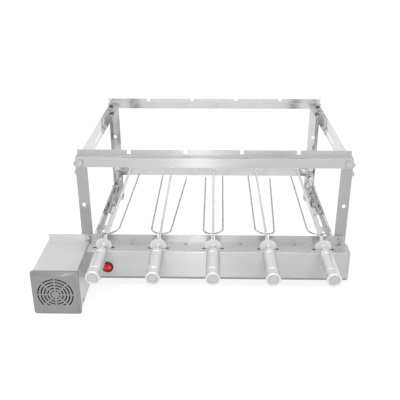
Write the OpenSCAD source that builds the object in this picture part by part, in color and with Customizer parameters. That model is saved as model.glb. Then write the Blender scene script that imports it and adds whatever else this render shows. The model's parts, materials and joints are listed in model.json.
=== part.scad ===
// Electric skewer grill: a sheet-metal frame that stands over a charcoal tray.
// A long motor bar turns five geared skewers with one worm shaft, and the rear
// half of the frame slides on slotted rails to suit the depth of the tray.
// Working frame of the modules: origin on the middle skewer's axis, in the plane
// of the gears. +X right, +Y away from the handles, +Z up. place() moves it so
// that the origin is the centre of the whole object's box, on the ground.

/* [Skewers] */
// Distance between neighbouring skewers
skewer_pitch = 120; // [108:1:132]
// Diameter of a skewer's rod
rod_d = 6; // [5:0.5:7]
// How far the rod reaches behind the gear
rod_reach = 505; // [498:1:530]
// Distance between the two tines of a fork
fork_w = 45; // [36:1:48]
// Diameter of a fork's bent rod
tine_d = 4; // [3:0.5:5]
// How far the tines reach behind the gear
tine_reach = 408; // [340:1:414]
// Diameter of the grip
grip_d = 29; // [24:0.2:30]
// Length of the grip
grip_l = 105; // [90:1:115]

/* [Gears] */
// Module of the skewer gears
gear_m = 1.4; // [1.4:0.05:1.5]
// Thickness of a skewer gear
gear_t = 3; // [2:0.5:3.5]

/* [Frame] */
// From the outer skewers to the outside of the frame
end_room = 53; // [52:1:60]
// Height of the gear axis above the ground
axis_h = 99; // [99:1:110]
// Height of the upper bars' ledge above the gear axis
ledge_z = 194.6; // [188:0.2:200]
// Where the rear legs stand behind the gears
rear_y = 477.4; // [470:0.2:480]
// Width of each leg's two flanges
leg_w = 25; // [22:1:26]
// Sheet thickness of bars, rails and covers
sheet = 1.2; // [1:0.1:1.2]
// Sheet thickness of the legs
leg_t = 1.5; // [1.2:0.1:1.6]

/* [Motor box] */
// Width of the motor box
box_w = 92; // [92:1:100]
// Depth of the motor box in front of the gears
box_y = 122; // [112:1:126]
// Diameter of the fan grille's outer ring of slots
grille_d = 72; // [60:1:72]

/* [Switch] */
// Diameter of the switch's bezel
bezel_d = 25; // [25:0.5:27]

/* [Hidden] */
$fn = 48;

// Clearances
moving_gap = 0.3;   // between pieces that move past each other
running_gap = 0.05; // radial, between a shaft and its bush
rest_gap = 0.08;    // under a rod that lies in its notch
past = 1;           // how far a cutter runs past a face

// Fasteners: M6 flanged hex bolts and nuts, M4 pan-head screws
bolt_r = 3;
bolt_hole_r = 3.3;
bolt_flange_r = 5.9;
bolt_flange_t = 1.5;
hex_r = 5.77;
hex_t = 4;
nut_t = 5;
bolt_end = 2;       // how far a bolt stands out of its nut
screw_r = 2;
screw_hole_r = 2.2;
screw_head_r = 3.8;
screw_head_t = 1.8;

// Half of the width over the front legs
half_w = 2 * skewer_pitch + end_room;

// Skewers
skewer_x = [for (i = [-2:2]) i * skewer_pitch];
mid_x = [for (i = [-1.5:1:1.5]) i * skewer_pitch]; // midway between neighbours
rod_r = rod_d / 2;
tine_r = tine_d / 2;
// Outward lean of the left and the right tine of each hand-bent fork, degrees
tine_lean = [[0, 1.5], [0, 4], [0, 0.5], [0, 3], [0, 0]];
// How far each fork is turned about its rod, degrees, the left tine upwards
fork_tilt = [-12, 5, -4, 7.5, 7];
fork_y = [86.5, 87.5, 89.5, 90.5, 89]; // centre of each fork's half-round base
weld = 0.4;         // how deep the fork's base is sunk into the rod
weld_r = tine_r + 0.6;
weld_l = 8;
seam_a = 2;         // half of the angle between the base's halves, inside the weld
fork_z = -(rod_r + tine_r - weld);
rod_tip_l = 12;
rod_tip_r = 0.4;
grip_rear_y = -31;
grip_front_y = grip_rear_y - grip_l;
grip_cap_r = grip_d / 2 + 0.9;
grip_cap_l = 5.5;
grip_cap_bevel = 2.5;
grip_bore_l = 79;
grip_rings = [grip_rear_y - 16, grip_front_y + 23];
grip_ring_d = 0.4;
grip_bevel = 3;
grip_dish_r = 10;
grip_dish_d = 1.5;

// Gears and worms: a single-start worm under each gear
gear_teeth = 24;
gear_pitch_r = gear_m * gear_teeth / 2;
gear_tip_r = gear_pitch_r + gear_m;
gear_root_r = gear_pitch_r - 1.2 * gear_m;
tooth_tip_w = 0.5;
tooth_root_w = 3.6;
hub_r = 4.5;
hub_l = 2;
worm_lead = gear_m * PI;
worm_body_r = 7.8;
worm_throw = 1.6;   // the thread is an eccentric disc swept along a helix
worm_turns = 2;
worm_steps = 10;    // slices to each turn
worm_fn = 20;
shaft_r = 4;
shaft_z = -(gear_pitch_r + 8);

// Motor bar: a folded shell over a tray
bar_inset = 17;     // from the frame's left side to the bar's end
bar_left = bar_inset - half_w;
bar_right = half_w - 1;
bar_front = -16.5;
bar_top = -5.6;
bar_shell_low = -68.6;
bar_low = -74.8;
cap_t = 5;
cap_cut = 5;
leg_y = 28;         // front face of the front legs
lip_y = leg_y - sheet;
lip_top = 12.5;
lip_tab = 10;
notch_floor = -(rod_r + rest_gap);
slot_l = 47;
slot_w = 5.5;
tray_front_top = -50;
bracket_t = 2;
bracket_w = 16;
bracket_low = -46;
bracket_screw_y = 18;
bush_r = 6;
bush_flange_r = 8;
shaft_pass_r = shaft_r + 2; // hole where the shaft passes a wall

// Switch
switch_in = 44.1;   // from the bar's left end
switch_x = bar_left + switch_in;
switch_z = -45.3;
bezel_r = bezel_d / 2;
bezel_t = 2.8;
switch_hole_r = 10.6;
switch_body_r = 10.5;
rocker_well_r = 9.8;
rocker_r = 9.3;
rocker_pivot_y = bar_front - 1.4;
rocker_tilt = 7;    // the rocker lies tilted this much in each position
rocker_pin_r = 0.8;

// Motor box
box_right = bar_left;
box_left = box_right - box_w;
box_mid = (box_left + box_right) / 2;
box_front = -box_y;
box_top = 0;
cover_over = 3.5;   // how far the front cover stands out past the shell
box_low = cover_over - axis_h;
cover_r = 6;
cover_lap = 2;
cover_rim_y = box_front + 5;
cover_back = cover_rim_y + 4;
cover_step = 3;     // how far the raised field stands in from the rim
cover_in = 2;       // how far the hollow behind it stands in from the field
bevel = 5;
box_edge = cover_back - cover_lap;
box_lip_top = 12;
tray_flange = 12;
grille_rings = 5;
grille_slot_w = 2.5;
grille_first_r = 9.2;
grille_step = (grille_d / 2 - grille_first_r) / (grille_rings - 1);
spoke_w = 3.2;
grille_plain = 25.5; // below the centre, where the slots stop over a plain field

// Fan behind the grille, on feet that stand on the box's floor
fan_w = 80;
fan_foot_h = 5.3;
fan_t = 25;
fan_y = box_edge;
grille_z = box_low + sheet + fan_foot_h + fan_w / 2; // the fan's axis too
fan_bore_r = 38.5;
fan_tip_r = 37;
fan_hub_r = 16;
fan_pin_r = 1.5;
fan_blades = 7;
fan_arm_t = 3;
fan_foot_x = 30;
fan_foot_w = 8;
fan_foot_in = 4;    // from the frame's front and back

// Gear motor: a round can with an offset output shaft
can_r = 30;
can_y = -14;
can_z = -43;
can_left = box_left + 4; // clear of the shell
can_room = 36;      // from the can's end to the bar, for the plate and the coupling
can_right = box_right - can_room;
ear_r = 35;         // from the can's axis to each ear's screw
ear_t = 1.5;
ear_w = 14;
ear_end = 5;        // how far an ear runs past its screw
motor_plate_t = 2;
motor_plate_w = 72;
motor_plate_foot = 16;
motor_boss_r = 6;
motor_boss_l = 3;
motor_bore_l = 10;  // how deep the output shaft's bore goes into the can
output_l = 17;
output_end = can_right + output_l;
coupling_l = 22;
coupling_r = 8;
shaft_right = bar_right - 3;

// Cord inlet on the back of the box: a barrel through the wall, a nut on each side
// and a clamping cone behind the outer one
gland_in = 25;
gland_x = box_left + gland_in;
gland_z = -75;
gland_bore_r = 3.5;
gland_barrel_r = 6;
gland_hex_r = 9;
gland_nut_l = 5;
gland_body_l = 6;
gland_cone_l = 6;
gland_cone_r = 8;
gland_inner = -sheet - gland_nut_l - 1;

// Legs
leg_top = ledge_z - sheet;
leg_hole_z = 85;
leg_hole_in = 11;   // from the leg's outer face
leg_oval_w = 7.5;
leg_oval_l = 10;
rear_hole_z = 90;
rear_hole_in = 10;
rear_hole_r = 4.5;
rear_half_w = half_w - leg_t;
rear_face = rear_y + sheet;
foot_w = leg_w - 1;

// Slotted bars
bar_drop = 21.4;
ledge_d = 19.8;
low_ledge_d = 16;
lip_h = 11.4;
notch_w = 8;
notch_round = 2;
ledge_slot_l = 30;
ledge_slot_w = 2.5;
upper_bar_half = half_w - 2;
lower_bar_half = half_w - 7;
lower_ledge_z = -6;

// Rails: an outer front piece and an inner rear piece on each side
rail_out = half_w - leg_t;
rail_in = rail_out - sheet - moving_gap;
upper_rail_top = 187;
upper_rail_low = 141;
upper_rear_top = 185;
upper_slot_z = 153.5;
lower_rail_low = -73;
lower_rail_h = 25;
lower_slot_x = half_w - 12;
rail_slot = [238, 404];
spare_slot = [80, 212];
front_rail_end = 425;
upper_rear_start = 342;
lower_rear_start = 306;
clamp_y = 362;
rail_hole_in = 20;
rail_hole_y = 43.4; // in front of the rear legs' back
rail_hole = [half_w - rail_hole_in, rear_y - rail_hole_y];
rail_hole_r = 3.5;
rail_slot_r = bolt_r + moving_gap;

// Bolted joints, each as [seat, direction, thickness of the stack]
frame_bolt_x = half_w - 12;
bar_bolt_z = ledge_z - 10.1;
lip_bolt_z = 6;
lip_bolt_in = 2;    // how much nearer the middle the left lip bolt stands
low_bar_bolt_z = -16;
rear_bolt_x = frame_bolt_x - leg_t;
side_bolt_z = [175.5, 155.5, -60];
joint_grip = sheet + leg_t;
front_side_y = leg_y + leg_w / 2;
rear_side_y = rear_y - leg_w / 2 - 0.9;
front_joints = concat(
    [for (s = [-1, 1]) [[s * frame_bolt_x, lip_y, bar_bolt_z], "+y", joint_grip]],
    [for (x = [lip_bolt_in - frame_bolt_x, frame_bolt_x]) [[x, lip_y, lip_bolt_z], "+y", joint_grip]],
    [for (s = [-1, 1]) for (z = side_bolt_z)
        [[s * (rail_out - sheet), front_side_y, z], s > 0 ? "+x" : "-x", joint_grip]]
);
rear_joints = concat(
    [for (s = [-1, 1]) [[s * rear_bolt_x, rear_face, bar_bolt_z], "-y", joint_grip]],
    [for (s = [-1, 1]) [[s * rear_bolt_x, rear_y, low_bar_bolt_z], "-y", joint_grip]],
    [for (s = [-1, 1]) for (z = side_bolt_z)
        [[s * (rail_in - sheet), rear_side_y, z], s > 0 ? "+x" : "-x", joint_grip]]
);
clamp_grip = 2 * sheet + 2 * moving_gap;
clamp_joints = concat(
    [for (s = [-1, 1]) [[s * (rail_in - sheet), clamp_y, upper_slot_z],
        s > 0 ? "+x" : "-x", clamp_grip]],
    [for (s = [-1, 1]) [[s * lower_slot_x, clamp_y, lower_rail_low + 2 * sheet + moving_gap],
        "-z", clamp_grip]]
);

// Screwed joints, each as [seat, direction, length of the shank]
base_screw_y = [-80, 0];
base_screw_z = box_low + 7;
bar_screw_y = 14;
bar_screw_z = [-62, -45];
case_joints = concat(
    [for (x = mid_x) [[x, bracket_screw_y, bar_top], "-z", 6]],
    [for (y = base_screw_y) [[box_left, y, base_screw_z], "+x", 5]],
    [for (y = base_screw_y) [[box_right, y, base_screw_z], "-x", 5]],
    [for (z = bar_screw_z) [[box_right - sheet, bar_screw_y, z], "+x", 5]],
    [for (s = [-1, 1]) [[can_right + motor_plate_t, can_y, can_z + s * ear_r], "-x", 6]]
);

// The whole object's box, for the origin
left_end = box_left - max(screw_head_t, cover_over);
right_end = rail_out - sheet + joint_grip + nut_t + bolt_end;
front_end = min(grip_front_y, box_front);
rear_end = rod_reach;

STAINLESS = [0.80, 0.81, 0.82];
SATIN = [0.72, 0.73, 0.74];
COVER = [0.60, 0.60, 0.60];
ZINC = [0.85, 0.85, 0.83];
ALUMINIUM = [0.88, 0.88, 0.87];
STEEL = [0.58, 0.58, 0.60];
BRONZE = [0.72, 0.52, 0.28];
BLACK = [0.07, 0.07, 0.08];
RED = [0.85, 0.05, 0.05];

// ---- Helpers ----

module place() {
    translate([-(left_end + right_end) / 2, -(front_end + rear_end) / 2, axis_h]) children();
}

// A block between two opposite corners
module block(low, high) {
    translate(low) cube(high - low);
}

// Turns a shape drawn along +Z to a named direction
module aim(direction) {
    turn = direction == "+x" ? [0, 90, 0] :
           direction == "-x" ? [0, -90, 0] :
           direction == "+y" ? [-90, 0, 0] :
           direction == "-y" ? [90, 0, 0] :
           direction == "-z" ? [180, 0, 0] : [0, 0, 0];
    rotate(turn) children();
}

// A round rod along X or Y, from one coordinate to another
module rod_x(r, x0, x1, y, z) {
    translate([x0, y, z]) aim("+x") cylinder(r = r, h = x1 - x0);
}

module rod_y(r, y0, y1, x, z) {
    translate([x, y0, z]) aim("+y") cylinder(r = r, h = y1 - y0);
}

// A long hole in a plane across Z, running along Y
module long_hole(r, y0, y1, h) {
    translate([-r, y0 + r, 0]) cube([2 * r, y1 - y0 - 2 * r, h]);
    for (y = [y0 + r, y1 - r]) translate([0, y, 0]) cylinder(r = r, h = h);
}

module rounded_plate(w, h, r, t) {
    linear_extrude(t) {
        square([w - 2 * r, h], center = true);
        square([w, h - 2 * r], center = true);
        for (x = [-1, 1]) for (y = [-1, 1])
            translate([x * (w / 2 - r), y * (h / 2 - r)]) circle(r);
    }
}

module bolt(grip) {
    translate([0, 0, -bolt_flange_t]) cylinder(r = bolt_flange_r, h = bolt_flange_t);
    translate([0, 0, -bolt_flange_t - hex_t]) cylinder(r = hex_r, h = hex_t, $fn = 6);
    cylinder(r = bolt_r, h = grip + nut_t + bolt_end);
}

module nut() {
    difference() {
        cylinder(r = hex_r, h = nut_t, $fn = 6);
        translate([0, 0, -past]) cylinder(r = bolt_r, h = nut_t + 2 * past);
    }
}

module wing_nut() {
    wing_h = nut_t + bolt_end - moving_gap;
    difference() {
        union() {
            cylinder(r = hex_r, h = nut_t);
            for (s = [-1, 1]) translate([s * 8 - 4.5, -1, 1.5]) cube([9, 2, wing_h - 1.5]);
        }
        translate([0, 0, -past]) cylinder(r = bolt_r, h = wing_h + 2 * past);
    }
}

module screw(length) {
    translate([0, 0, -screw_head_t]) cylinder(r = screw_head_r, h = screw_head_t);
    cylinder(r = screw_r, h = length);
}

module bolts(joints) {
    for (j = joints) translate(j[0]) aim(j[1]) bolt(j[2]);
}

module nuts(joints) {
    for (j = joints) translate(j[0]) aim(j[1]) translate([0, 0, j[2]]) nut();
}

// Clearance holes through the stack of each joint
module joint_holes(joints, r) {
    for (j = joints) translate(j[0]) aim(j[1]) translate([0, 0, -past / 2])
        cylinder(r = r, h = j[2] + past);
}

// ---- Motor bar ----

module lip_notches(xs, y0, y1, floor_z, w) {
    for (x = xs) block([x - w / 2, y0 - past, floor_z], [x + w / 2, y1 + past, lip_top + past]);
}

module motor_bar_shell() {
    color(STAINLESS) place() difference() {
        union() {
            block([bar_left, bar_front, bar_shell_low], [bar_right, bar_front + sheet, bar_top]);
            block([bar_left, bar_front, bar_top - sheet], [bar_right, leg_y, bar_top]);
            block([bar_left, lip_y, bar_top - sheet], [bar_right, leg_y, lip_top]);
            block([bar_left - lip_tab, lip_y, box_top], [bar_left, leg_y, lip_top]);
        }
        lip_notches(skewer_x, lip_y, leg_y, notch_floor, notch_w);
        for (x = skewer_x) block([x - slot_l / 2, -slot_w / 2, bar_top - 2 * sheet],
            [x + slot_l / 2, slot_w / 2, bar_top + past]);
        for (x = mid_x) translate([x, bracket_screw_y, bar_top - 2 * sheet])
            cylinder(r = screw_hole_r, h = 3 * sheet);
        rod_y(switch_hole_r, bar_front - past, bar_front + sheet + past, switch_x, switch_z);
        joint_holes(front_joints, bolt_hole_r);
    }
}

module motor_bar_base_cover() {
    inner = bar_front + sheet;
    color(SATIN) place() difference() {
        union() {
            block([bar_left, inner, bar_low], [bar_right, leg_y, bar_low + sheet]);
            block([bar_left, inner, bar_low], [bar_right, inner + sheet, tray_front_top]);
            block([bar_left, lip_y, bar_low], [bar_right, leg_y, bar_top - sheet]);
            block([bar_left, inner, bar_low], [bar_left + sheet, leg_y, bar_top - sheet]);
        }
        rod_x(shaft_pass_r, bar_left - past, bar_left + sheet + past, 0, shaft_z);
        rod_y(switch_hole_r + 1, inner - past, inner + 2 * sheet, switch_x, switch_z);
        for (j = case_joints) translate(j[0]) aim(j[1])
            translate([0, 0, sheet]) cylinder(r = screw_r, h = j[2]);
    }
}

module motor_bar_end_cap() {
    boss_l = 8;
    color(STAINLESS) place() difference() {
        union() {
            translate([bar_right, 0, 0]) rotate([90, 0, 90]) linear_extrude(cap_t)
                polygon([[bar_front, bar_top], [leg_y, bar_top], [leg_y, bar_low],
                    [bar_front + sheet, bar_low], [bar_front, bar_shell_low]]);
            rod_x(bush_flange_r, bar_right - boss_l, bar_right, 0, shaft_z);
        }
        translate([bar_right + cap_t, bar_front - past, bar_low]) rotate([0, 45, 0])
            translate([-cap_cut / 2, 0, -cap_cut])
                cube([cap_cut, leg_y - bar_front + 2 * past, 2 * cap_cut]);
        rod_x(shaft_r + running_gap, bar_right - boss_l - past, shaft_right + past, 0, shaft_z);
    }
}

module bearing_brackets() {
    top = bar_top - sheet;
    color(STEEL) place() for (x = mid_x) difference() {
        union() {
            block([x - bracket_w / 2, 8, top - bracket_t], [x + bracket_w / 2, lip_y, top]);
            block([x - bracket_w / 2, -10, bracket_low], [x - bracket_w / 2 + bracket_t, lip_y, top]);
        }
        translate([x, bracket_screw_y, top - bracket_t - past])
            cylinder(r = screw_r, h = bracket_t + 2 * past);
        rod_x(bush_r, x - bracket_w, x, 0, shaft_z);
    }
}

module bearing_bushes() {
    color(BRONZE) place() for (x = mid_x) translate([x - bracket_w / 2, 0, 0]) difference() {
        union() {
            rod_x(bush_flange_r, -bracket_t, 0, 0, shaft_z);
            rod_x(bush_r, 0, 2 * bracket_t, 0, shaft_z);
        }
        rod_x(shaft_r + running_gap, -2 * bracket_t, 3 * bracket_t, 0, shaft_z);
    }
}

module case_screws() {
    color(ZINC) place() for (j = case_joints) translate(j[0]) aim(j[1]) screw(j[2]);
}

// ---- Switch ----

module switch_housing() {
    well_floor = bar_front + 4;
    body_end = -8;
    color(BLACK) place() translate([switch_x, 0, switch_z]) difference() {
        union() {
            rod_y(bezel_r, bar_front - bezel_t, bar_front, 0, 0);
            rod_y(switch_body_r, bar_front, body_end, 0, 0);
            block([-6, body_end, -5], [6, body_end + 6, 3]);
        }
        rod_y(rocker_well_r, bar_front - bezel_t - past, well_floor, 0, 0);
        translate([0, rocker_pivot_y, -bezel_r + 1])
            cylinder(r = rocker_pin_r + running_gap, h = 2 * (bezel_r - 1));
    }
}

module switch_rocker() {
    pin_half = bezel_r - 1.3;
    color(RED) place() translate([switch_x, rocker_pivot_y, switch_z]) rotate([0, 0, rocker_tilt]) {
        intersection() {
            rod_y(rocker_r, -5, 5, 0, 0);
            translate([0, 0, -rocker_r]) linear_extrude(2 * rocker_r)
                polygon([[-10, -2.4], [0, -1.5], [10, -2.4], [10, 1.1], [4, 1.1], [2, 3.6],
                    [-2, 3.6], [-4, 1.1], [-10, 1.1]]);
        }
        translate([0, 0, -pin_half]) cylinder(r = rocker_pin_r, h = 2 * pin_half);
    }
}

// ---- Motor box ----

module motor_box_shell() {
    color(SATIN) place() difference() {
        union() {
            block([box_left, box_edge, box_low + sheet], [box_left + sheet, leg_y, box_top]);
            block([box_right - sheet, box_edge, box_low + sheet], [box_right, leg_y, box_top]);
            block([box_left, box_edge, box_top - sheet], [box_right, leg_y, box_top]);
            block([box_left, lip_y, box_low + sheet], [box_right, leg_y, box_top]);
            block([box_left, lip_y, box_top], [bar_left - lip_tab, leg_y, box_lip_top]);
        }
        rod_x(shaft_pass_r, box_right - 2 * sheet, box_right + past, 0, shaft_z);
        rod_y(gland_barrel_r, lip_y - past, leg_y + past, gland_x, gland_z);
        for (j = case_joints) translate(j[0]) aim(j[1])
            translate([0, 0, -past]) cylinder(r = screw_hole_r, h = sheet + past);
    }
}

module motor_box_base() {
    color(SATIN) place() difference() {
        union() {
            block([box_left, box_edge, box_low], [box_right, leg_y, box_low + sheet]);
            for (x = [box_left + sheet, box_right - 2 * sheet])
                block([x, box_edge, box_low], [x + sheet, lip_y, box_low + tray_flange]);
        }
        for (j = case_joints) translate(j[0]) aim(j[1])
            translate([0, 0, sheet]) cylinder(r = screw_r, h = j[2]);
    }
}

// A block that narrows towards the front by the same bevel on all four sides
module bevelled_block(w, h, inset, depth) {
    intersection() {
        translate([0, 0, -h / 2]) linear_extrude(h)
            polygon([[-w / 2, 0], [w / 2, 0], [w / 2 - inset, -depth], [-w / 2 + inset, -depth]]);
        translate([-w / 2, 0, 0]) rotate([90, 0, 90]) linear_extrude(w)
            polygon([[0, -h / 2], [0, h / 2], [-depth, h / 2 - inset], [-depth, -h / 2 + inset]]);
    }
}

module grille_slots(depth) {
    intersection() {
        difference() {
            for (i = [0:grille_rings - 1])
                rod_ring(grille_first_r + i * grille_step, grille_slot_w, depth);
            for (a = [0:45:135]) rotate([0, a, 0])
                cube([2 * grille_d, 4 * depth, spoke_w], center = true);
        }
        block([-grille_d, -2 * depth, -grille_plain], [grille_d, 2 * depth, grille_d]);
    }
}

// A flat ring across Y
module rod_ring(r, w, depth) {
    difference() {
        rod_y(r + w / 2, -depth / 2, depth / 2, 0, 0);
        rod_y(r - w / 2, -depth, depth, 0, 0);
    }
}

module motor_box_front_cover() {
    w = box_w + 2 * cover_over;
    h = box_top - box_low + 2 * cover_over;
    mid_z = (box_top + box_low) / 2;
    raised = cover_rim_y - box_front;
    color(COVER) place() difference() {
        union() {
            translate([box_mid, cover_back, mid_z]) rotate([90, 0, 0])
                rounded_plate(w, h, cover_r, cover_back - cover_rim_y);
            translate([box_mid, cover_rim_y, mid_z])
                bevelled_block(w - 2 * cover_step, h - 2 * cover_step, bevel, raised);
        }
        block([box_left, box_edge, box_low], [box_right, cover_back + past, box_top]);
        translate([box_mid, box_edge + 0.01, mid_z])
            bevelled_block(w - 2 * (cover_step + cover_in), h - 2 * (cover_step + cover_in), bevel,
                box_edge - box_front - sheet);
        translate([box_mid, box_front, grille_z]) grille_slots(4 * sheet);
    }
}

module gear_motor() {
    color(STEEL) place() difference() {
        union() {
            rod_x(can_r, can_left, can_right, can_y, can_z);
            rod_x(motor_boss_r, can_right, can_right + motor_boss_l, 0, shaft_z);
            block([can_right - ear_t, can_y - ear_w / 2, can_z - ear_r - ear_end],
                [can_right, can_y + ear_w / 2, can_z + ear_r + ear_end]);
        }
        rod_x(shaft_r + running_gap, can_right - motor_bore_l, can_right + motor_boss_l + past, 0, shaft_z);
        for (s = [-1, 1])
            rod_x(screw_r, can_right - 5, can_right + past, can_y, can_z + s * ear_r);
    }
}

module motor_plate() {
    low = box_low + sheet;
    color(SATIN) place() difference() {
        union() {
            translate([can_right, can_y - motor_plate_w / 2, low]) {
                cube([motor_plate_t, motor_plate_w, box_top - 4 - low]);
                cube([motor_plate_foot, motor_plate_w, motor_plate_t]);
            }
        }
        rod_x(motor_boss_r + moving_gap, can_right - past, can_right + 2 * motor_plate_t, 0, shaft_z);
        for (s = [-1, 1])
            rod_x(screw_hole_r, can_right - past, can_right + 2 * motor_plate_t,
                can_y, can_z + s * ear_r);
    }
}

module fan_frame() {
    arm_y = fan_y + fan_t - fan_arm_t;
    color(BLACK) place() translate([box_mid, 0, grille_z]) {
        difference() {
            translate([0, fan_y + fan_t, 0]) rotate([90, 0, 0]) rounded_plate(fan_w, fan_w, 4, fan_t);
            rod_y(fan_bore_r, fan_y - past, fan_y + fan_t + past, 0, 0);
        }
        for (a = [45:90:315]) rotate([0, a, 0])
            block([0, arm_y, -2], [fan_bore_r + 2, arm_y + fan_arm_t, 2]);
        rod_y(fan_hub_r, arm_y, arm_y + fan_arm_t, 0, 0);
        rod_y(fan_pin_r, fan_y + 8, arm_y + 1, 0, 0);
        for (s = [-1, 1])
            block([s * fan_foot_x - fan_foot_w / 2, fan_y + fan_foot_in, -fan_w / 2 - fan_foot_h],
                [s * fan_foot_x + fan_foot_w / 2, fan_y + fan_t - fan_foot_in, -fan_w / 2 + past]);
    }
}

module fan_rotor() {
    hub_front = fan_y + 2;
    hub_back = fan_y + fan_t - fan_arm_t - moving_gap;
    color(BLACK) place() translate([box_mid, 0, grille_z]) difference() {
        union() {
            rod_y(fan_hub_r, hub_front, hub_back, 0, 0);
            intersection() {
                for (i = [0:fan_blades - 1]) rotate([0, i * 360 / fan_blades, 0])
                    translate([0, fan_y + 12, 0]) rotate([35, 0, 0])
                        block([fan_hub_r - 2, -0.8, -11], [fan_tip_r, 0.8, 11]);
                rod_y(fan_tip_r, hub_front + 1, hub_back - 1, 0, 0);
            }
        }
        rod_y(fan_pin_r + running_gap, fan_y + 7, hub_back + past, 0, 0);
    }
}

module cord_gland() {
    outer = gland_body_l + gland_cone_l;
    color(BLACK) place() translate([gland_x, leg_y, gland_z]) difference() {
        union() {
            rod_y(gland_barrel_r, gland_inner, gland_body_l, 0, 0);
            translate([0, -sheet - gland_nut_l, 0]) aim("+y")
                cylinder(r = gland_hex_r, h = gland_nut_l, $fn = 6);
            aim("+y") cylinder(r = gland_hex_r, h = gland_body_l, $fn = 6);
            translate([0, gland_body_l, 0]) aim("+y")
                cylinder(r1 = gland_cone_r, r2 = gland_barrel_r, h = gland_cone_l);
        }
        rod_y(gland_bore_r, gland_inner - past, outer + past, 0, 0);
    }
}

// ---- Drive ----

module motor_output_shaft() {
    color(STEEL) place() rod_x(shaft_r, can_right - motor_bore_l + 1, output_end, 0, shaft_z);
}

module shaft_coupling() {
    color(STEEL) place() difference() {
        rod_x(coupling_r, output_end - coupling_l / 2, output_end + coupling_l / 2, 0, shaft_z);
        rod_x(shaft_r, output_end - coupling_l, output_end + coupling_l, 0, shaft_z);
    }
}

module drive_shaft() {
    color(STEEL) place() rod_x(shaft_r, output_end, shaft_right, 0, shaft_z);
}

// A right-hand thread. In the plane of each skewer its groove faces up, to the gear.
module drive_worms() {
    length = worm_turns * worm_lead;
    color(STEEL) place() for (x = skewer_x) translate([x, 0, shaft_z]) difference() {
        aim("+x") translate([0, 0, -length / 2])
            linear_extrude(length, twist = -360 * worm_turns,
                slices = worm_turns * worm_steps, $fn = worm_fn)
                rotate(-180 * worm_turns) translate([worm_throw, 0]) circle(worm_body_r, $fn = worm_fn);
        rod_x(shaft_r, -length, length, 0, 0);
    }
}

// ---- Frame ----

// An angle leg with its foot tab, drawn for the right side at the front:
// flange across the front, flange on the outer side
module angle_leg(top) {
    block([-leg_w, 0, -axis_h], [0, leg_t, top]);
    block([-leg_t, 0, -axis_h], [0, leg_w, top]);
    block([-leg_w, 0, -axis_h], [0, foot_w, -axis_h + leg_t]);
}

module front_leg(side) {
    color(STAINLESS) place() difference() {
        translate([side * half_w, leg_y, 0]) mirror([side > 0 ? 0 : 1, 0, 0]) angle_leg(leg_top);
        translate([side * (half_w - leg_hole_in), leg_y - past, leg_hole_z]) rotate([-90, 0, 0])
            long_hole(leg_oval_w / 2, -leg_oval_l / 2, leg_oval_l / 2, leg_t + 2 * past);
        joint_holes(front_joints, bolt_hole_r);
    }
}

module rear_leg(side) {
    color(STAINLESS) place() difference() {
        translate([side * rear_half_w, rear_y, 0]) mirror([side > 0 ? 0 : 1, 0, 0])
            mirror([0, 1, 0]) angle_leg(leg_top);
        rod_y(rear_hole_r, rear_y - leg_t - past, rear_y + past,
            side * (rear_half_w - rear_hole_in), rear_hole_z);
        joint_holes(rear_joints, bolt_hole_r);
    }
}

// A folded bar: face down from the ledge's outer edge, lip up from its inner edge
module slotted_bar(half, depth, xs, notch_z, slots) {
    difference() {
        union() {
            block([-half, 0, -bar_drop], [half, sheet, 0]);
            block([-half, 0, -sheet], [half, depth, 0]);
            block([-half, depth - sheet, -sheet], [half, depth, lip_h]);
        }
        for (x = xs) translate([x, depth - sheet - past, 0]) rotate([90, 0, 0])
            mirror([0, 0, 1]) linear_extrude(sheet + 2 * past) notch_outline(notch_z);
        if (slots) for (x = xs)
            block([x - ledge_slot_l / 2, sheet, -sheet - past],
                [x + ledge_slot_l / 2, sheet + ledge_slot_w, past]);
    }
}

// A notch with rounded corners at its mouth
module notch_outline(floor_z) {
    translate([-notch_w / 2, floor_z]) square([notch_w, lip_h + past - floor_z]);
    for (s = [0, 1]) mirror([s, 0]) difference() {
        translate([notch_w / 2 - 0.01, lip_h - notch_round]) square([notch_round, notch_round + past]);
        translate([notch_w / 2 + notch_round, lip_h - notch_round]) circle(notch_round);
    }
}

module upper_front_bar() {
    color(STAINLESS) place() difference() {
        translate([0, lip_y, ledge_z]) slotted_bar(upper_bar_half, ledge_d, mid_x, 2, true);
        joint_holes(front_joints, bolt_hole_r);
    }
}

module upper_rear_bar() {
    color(STAINLESS) place() difference() {
        translate([0, rear_face, ledge_z]) mirror([0, 1, 0])
            slotted_bar(upper_bar_half, ledge_d, mid_x, 2, true);
        joint_holes(rear_joints, bolt_hole_r);
    }
}

module lower_rear_bar() {
    color(STAINLESS) place() difference() {
        translate([0, rear_y - leg_t, lower_ledge_z]) mirror([0, 1, 0])
            slotted_bar(lower_bar_half, low_ledge_d, skewer_x, notch_floor - lower_ledge_z, false);
        joint_holes(rear_joints, bolt_hole_r);
    }
}

// Rails are drawn for the right side and mirrored for the left
module upper_rail_front(side) {
    color(STAINLESS) place() difference() {
        mirror([side > 0 ? 0 : 1, 0, 0]) difference() {
            block([rail_out - sheet, leg_y + leg_t, upper_rail_low],
                [rail_out, front_rail_end, upper_rail_top]);
            translate([rail_out - sheet - past, 0, upper_slot_z]) rotate([0, 90, 0])
                long_hole(rail_slot_r, rail_slot[0], rail_slot[1], sheet + 2 * past);
        }
        joint_holes(front_joints, bolt_hole_r);
    }
}

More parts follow.
